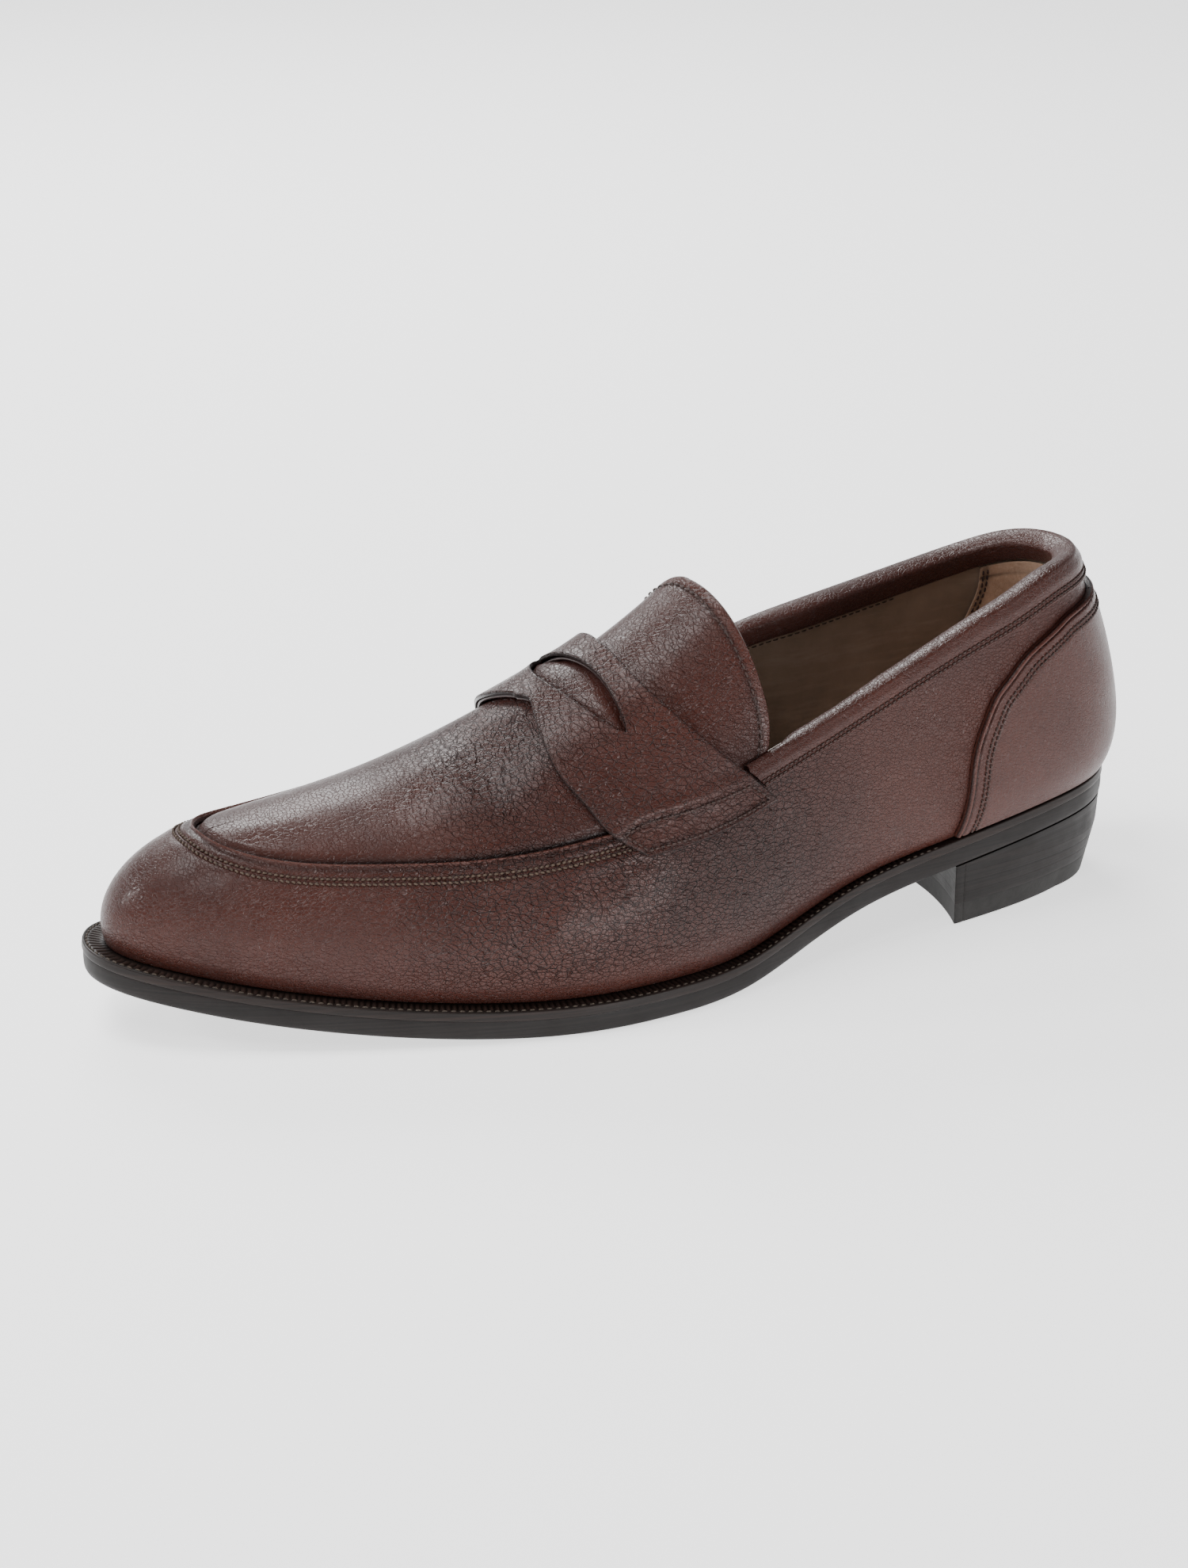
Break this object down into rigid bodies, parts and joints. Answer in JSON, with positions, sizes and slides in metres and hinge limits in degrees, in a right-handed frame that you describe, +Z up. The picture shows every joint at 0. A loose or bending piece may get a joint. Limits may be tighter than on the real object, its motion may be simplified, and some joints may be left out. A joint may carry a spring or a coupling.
{
  "type": "penny loafer",
  "caption": "Left penny loafer in brown calf: apron seam, slotted saddle strap, rounded tongue, folded topline, covered heel counter, welted leather sole and stacked heel.",
  "frame": {"origin": "on the ground under the middle of the shoe's bounding box", "axes": "+Z up, +Y from toe to heel, +X to the outer side of the foot"},
  "size_m": [0.0985, 0.305, 0.1027],
  "materials": {
    "upper": "smooth reddish-brown calf, waxed",
    "lining": "tan lining leather",
    "suede": "tan suede",
    "sole": "dark-stained sole leather, burnished edge",
    "insole": "undyed insole leather",
    "stiffener": "impregnated stiffener cloth",
    "cork": "ground cork filler",
    "steel": "plain spring steel",
    "rubber": "black heel rubber"
  },
  "bodies": {
    "root": {"vamp_wrap": "upper", "apron_plug": "upper", "tongue": "upper", "saddle_strap": "upper", "heel_counter_cover": "upper", "topline_collar": "upper", "tongue_lining": "lining", "saddle_strap_lining": "lining", "vamp_lining": "lining", "quarter_lining_outer": "lining", "quarter_lining_inner": "lining", "sock_liner": "lining", "heel_grip": "suede", "heel_counter_stiffener": "stiffener", "toe_puff": "stiffener", "insole": "insole", "cork_filler": "cork", "shank": "steel", "welt": "sole", "outsole": "sole", "heel_seat_wedge": "sole", "heel_lift_1": "sole", "heel_lift_2": "sole", "heel_lift_3": "sole", "heel_top_piece": "rubber"}
  },
  "joints": []
}
